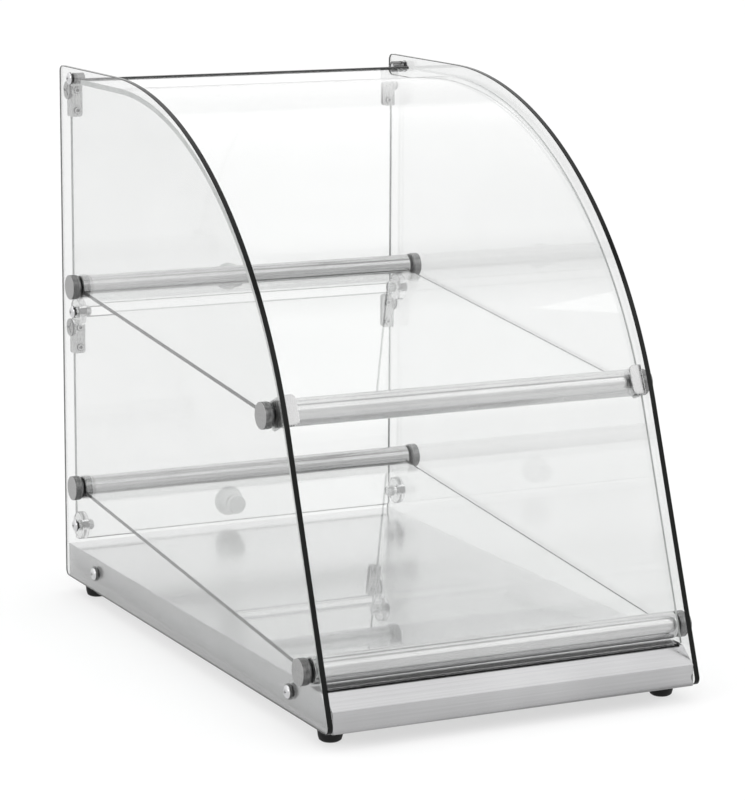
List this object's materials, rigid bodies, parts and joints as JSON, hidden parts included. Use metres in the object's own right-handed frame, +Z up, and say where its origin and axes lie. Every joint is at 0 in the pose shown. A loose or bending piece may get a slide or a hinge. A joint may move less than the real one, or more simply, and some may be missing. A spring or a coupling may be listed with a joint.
{
  "type": "bakery display case",
  "caption": "Countertop display case of curved glass on a steel base, with sloping glass shelves on rails and flap doors at the back.",
  "frame": {"origin": "bottom centre of the case, on the surface that the feet stand on", "axes": "+X to the right seen from the front, +Y from the curved front to the doors, +Z up"},
  "size_m": [0.3056, 0.4973, 0.421],
  "materials": {
    "clear_glass": "polished clear glass",
    "brushed_steel": "satin brushed stainless steel",
    "satin_metal": "satin",
    "chrome_screw": "bright plated",
    "clear_plastic": "translucent",
    "grey_plastic": "smooth grey",
    "black_rubber": "matt"
  },
  "bodies": {
    "case": {"side_glass_left": "clear_glass", "side_glass_right": "clear_glass", "curved_front_glass": "clear_glass", "upper_shelf_glass": "clear_glass", "lower_shelf_glass": "clear_glass", "base_pan": "brushed_steel", "base_angle_left": "brushed_steel", "base_angle_right": "brushed_steel", "rail_upper_front": "brushed_steel", "rail_upper_rear": "brushed_steel", "rail_lower_front": "brushed_steel", "rail_lower_rear": "brushed_steel", "rail_cap_upper_front_left": "brushed_steel", "rail_cap_upper_front_right": "brushed_steel", "rail_cap_upper_rear_left": "brushed_steel", "rail_cap_upper_rear_right": "brushed_steel", "rail_cap_lower_front_left": "brushed_steel", "rail_cap_lower_front_right": "brushed_steel", "rail_cap_lower_rear_left": "brushed_steel", "rail_cap_lower_rear_right": "brushed_steel", "pane_clip_left": "satin_metal", "pane_clip_right": "satin_metal", "hinge_pivot_upper_left": "satin_metal", "hinge_pivot_upper_right": "satin_metal", "hinge_pivot_lower_left": "satin_metal", "hinge_pivot_lower_right": "satin_metal", "stop_nut_middle_left": "satin_metal", "stop_nut_middle_right": "satin_metal", "stop_nut_lower_left": "satin_metal", "stop_nut_lower_right": "satin_metal", "pane_spacer_left": "satin_metal", "pane_spacer_right": "satin_metal", "stop_screw_middle_left": "chrome_screw", "stop_screw_middle_right": "chrome_screw", "stop_screw_lower_left": "chrome_screw", "stop_screw_lower_right": "chrome_screw", "spacer_screw_left": "chrome_screw", "spacer_screw_right": "chrome_screw", "base_screw_front_left": "chrome_screw", "base_screw_front_right": "chrome_screw", "base_screw_rear_left": "chrome_screw", "base_screw_rear_right": "chrome_screw", "door_stop_middle_left": "clear_plastic", "door_stop_middle_right": "clear_plastic", "door_stop_lower_left": "clear_plastic", "door_stop_lower_right": "clear_plastic", "foot_front_left": "black_rubber", "foot_front_right": "black_rubber", "foot_rear_left": "black_rubber", "foot_rear_right": "black_rubber"},
    "upper_door": {"upper_door_glass": "clear_glass", "hinge_bracket_upper_left": "satin_metal", "hinge_bracket_upper_right": "satin_metal", "door_knob_upper": "grey_plastic", "knob_boss_upper": "grey_plastic"},
    "lower_door": {"lower_door_glass": "clear_glass", "hinge_bracket_lower_left": "satin_metal", "hinge_bracket_lower_right": "satin_metal", "door_knob_lower": "grey_plastic", "knob_boss_lower": "grey_plastic"}
  },
  "joints": [
    {"name": "upper_door_hinge", "type": "hinge", "parent": "case", "child": "upper_door", "pos_m": [0, 0.23269, 0.4023], "axis": [1, 0, 0], "range_deg": [0, 95]},
    {"name": "lower_door_hinge", "type": "hinge", "parent": "case", "child": "lower_door", "pos_m": [0, 0.23269, 0.215], "axis": [1, 0, 0], "range_deg": [0, 95]}
  ]
}
